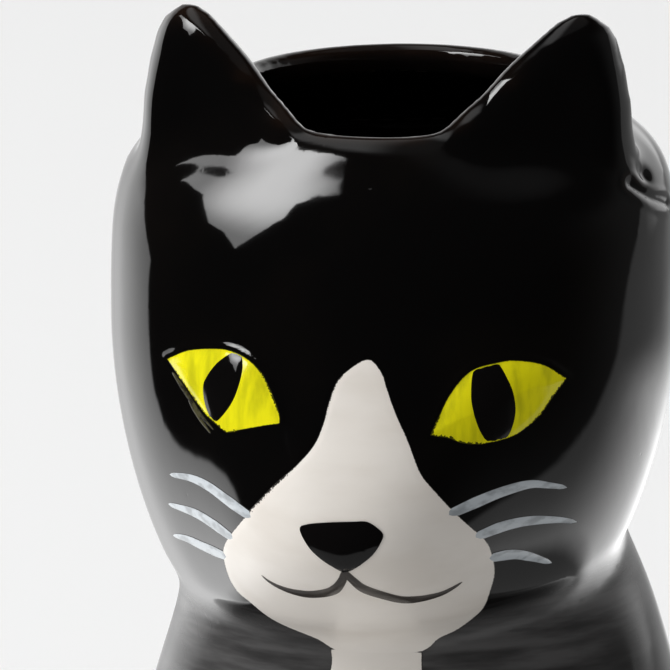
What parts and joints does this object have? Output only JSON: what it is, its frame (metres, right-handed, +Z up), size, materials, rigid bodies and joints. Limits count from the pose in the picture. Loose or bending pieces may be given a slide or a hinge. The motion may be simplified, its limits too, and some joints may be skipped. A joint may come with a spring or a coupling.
{
  "type": "cat vase",
  "caption": "Glossy black-and-white ceramic flower vase in the shape of a seated cat, open at the crown behind the ears.",
  "frame": {"origin": "middle of the flat base, on the table", "axes": "+Z up along the vase, the face looks towards -Y, the cat's left is +X"},
  "size_m": [0.1223, 0.1253, 0.2107],
  "materials": {
    "black_glaze": "high-gloss black glaze",
    "white_glaze": "glossy warm white glaze",
    "yellow_enamel": "glossy hand-painted yellow",
    "grey_enamel": "thin hand-painted grey-white strokes",
    "charcoal_enamel": "hand-painted charcoal line",
    "nose_glaze": "glossy black enamel"
  },
  "bodies": {
    "root": {"body_shell": "black_glaze", "head_shell": "black_glaze", "left_ear": "black_glaze", "right_ear": "black_glaze", "left_foreleg": "black_glaze", "right_foreleg": "black_glaze", "left_forepaw": "white_glaze", "right_forepaw": "white_glaze", "left_hind_paw": "white_glaze", "right_hind_paw": "white_glaze", "tail": "black_glaze", "chest_bib": "white_glaze", "muzzle_patch": "white_glaze", "nose": "nose_glaze", "mouth_line": "charcoal_enamel", "left_iris": "yellow_enamel", "right_iris": "yellow_enamel", "left_pupil": "nose_glaze", "right_pupil": "nose_glaze", "left_whisker_upper": "grey_enamel", "left_whisker_middle": "grey_enamel", "left_whisker_lower": "grey_enamel", "right_whisker_upper": "grey_enamel", "right_whisker_middle": "grey_enamel", "right_whisker_lower": "grey_enamel"}
  },
  "joints": []
}
